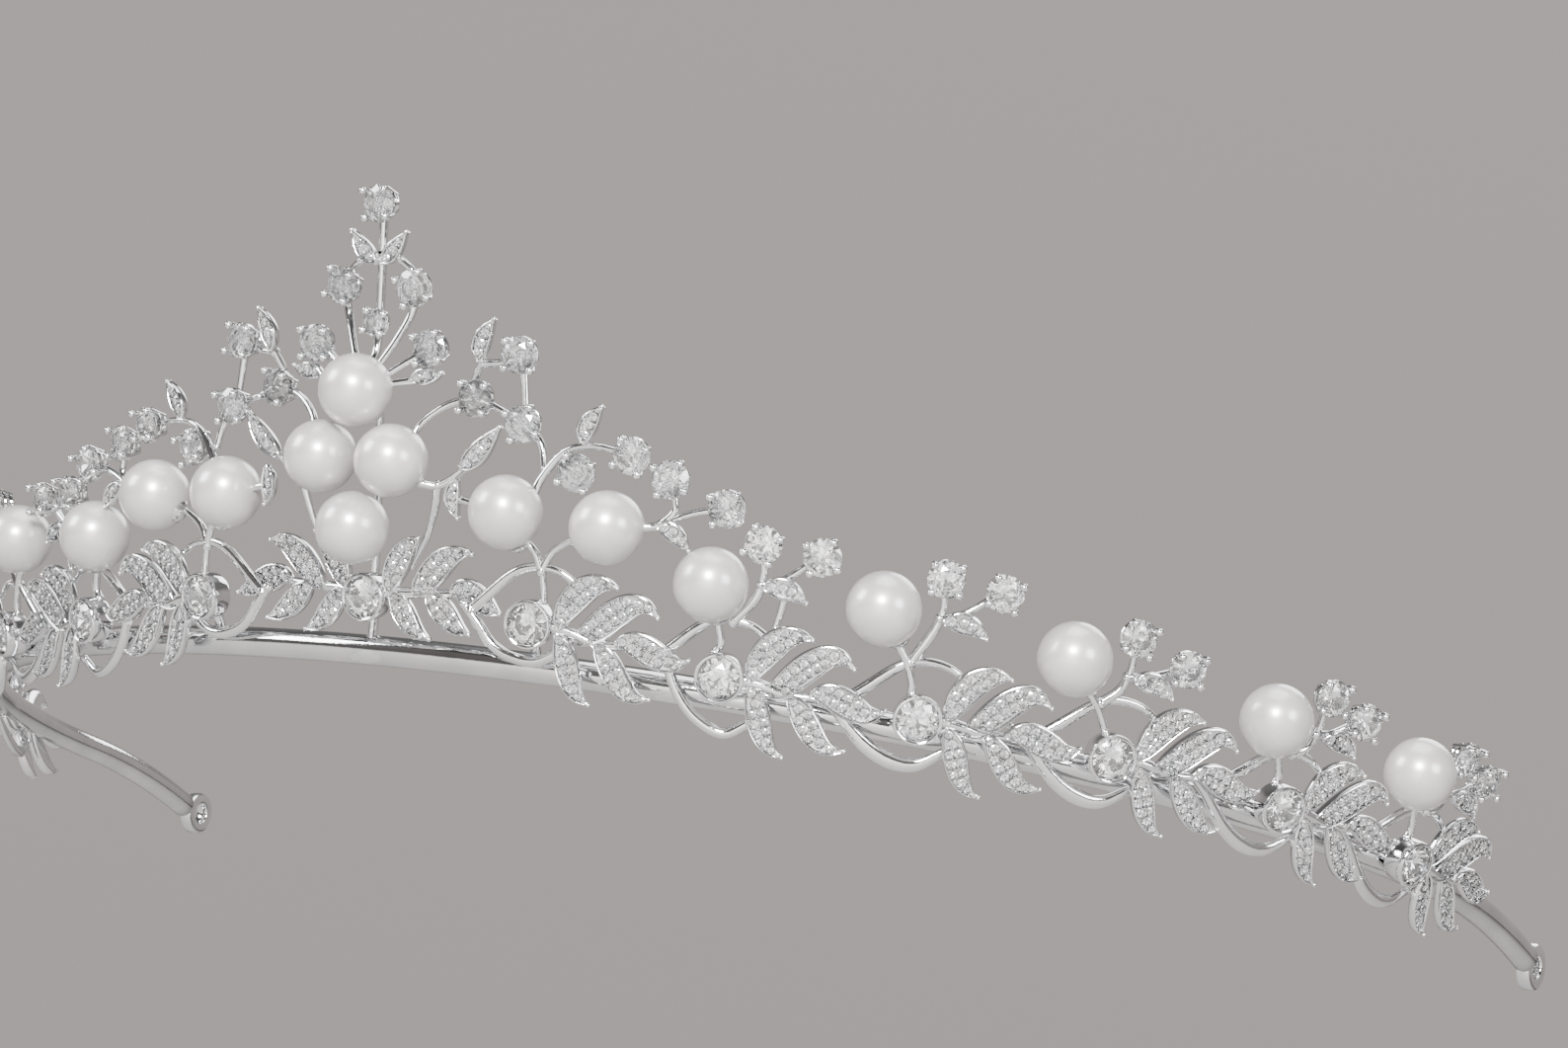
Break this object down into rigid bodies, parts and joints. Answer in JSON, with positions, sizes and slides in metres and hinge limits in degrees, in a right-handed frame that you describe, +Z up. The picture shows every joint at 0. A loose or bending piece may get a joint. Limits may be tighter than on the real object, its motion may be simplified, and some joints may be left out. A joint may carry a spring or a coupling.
{
  "type": "bridal tiara",
  "caption": "Arched bridal tiara: open oval band wire with a leaning garland of paved leaf sprays, rimmed round stones, pearls and claw-set stones rising to a centre spire.",
  "frame": {"origin": "middle of the head seat, on the ellipse that the garland stands on, at the band's level", "axes": "+Z up towards the spire, -Y the front, +X the viewer's right (the wearer's left)"},
  "size_m": [0.1578, 0.097, 0.0411],
  "materials": {
    "band_metal": "bright rhodium plate, polished",
    "frame_metal": "bright rhodium plate, polished",
    "pave_metal": "bright rhodium plate, cast leaves",
    "setting_metal": "bright rhodium plate, cups and claws",
    "stones": "clear white cut stones",
    "pearls": "white pearl lustre"
  },
  "bodies": {
    "root": {"band_wire": "band_metal", "end_eye_right": "band_metal", "end_eye_left": "band_metal", "leaves_centre": "pave_metal", "settings_centre": "setting_metal", "stones_centre": "stones", "frame_centre": "frame_metal", "pearls_centre": "pearls", "leaves_1_right": "pave_metal", "leaves_1_left": "pave_metal", "settings_1_right": "setting_metal", "settings_1_left": "setting_metal", "stones_1_right": "stones", "stones_1_left": "stones", "frame_1_right": "frame_metal", "frame_1_left": "frame_metal", "leaves_2_right": "pave_metal", "leaves_2_left": "pave_metal", "settings_2_right": "setting_metal", "settings_2_left": "setting_metal", "stones_2_right": "stones", "stones_2_left": "stones", "frame_2_right": "frame_metal", "frame_2_left": "frame_metal", "leaves_3_right": "pave_metal", "leaves_3_left": "pave_metal", "settings_3_right": "setting_metal", "settings_3_left": "setting_metal", "stones_3_right": "stones", "stones_3_left": "stones", "frame_3_right": "frame_metal", "frame_3_left": "frame_metal", "leaves_4_right": "pave_metal", "leaves_4_left": "pave_metal", "settings_4_right": "setting_metal", "settings_4_left": "setting_metal", "stones_4_right": "stones", "stones_4_left": "stones", "frame_4_right": "frame_metal", "frame_4_left": "frame_metal", "leaves_5_right": "pave_metal", "leaves_5_left": "pave_metal", "settings_5_right": "setting_metal", "settings_5_left": "setting_metal", "stones_5_right": "stones", "stones_5_left": "stones", "frame_5_right": "frame_metal", "frame_5_left": "frame_metal", "leaves_6_right": "pave_metal", "leaves_6_left": "pave_metal", "settings_6_right": "setting_metal", "settings_6_left": "setting_metal", "stones_6_right": "stones", "stones_6_left": "stones", "frame_6_right": "frame_metal", "frame_6_left": "frame_metal", "pearls_right": "pearls", "pearls_left": "pearls"}
  },
  "joints": []
}
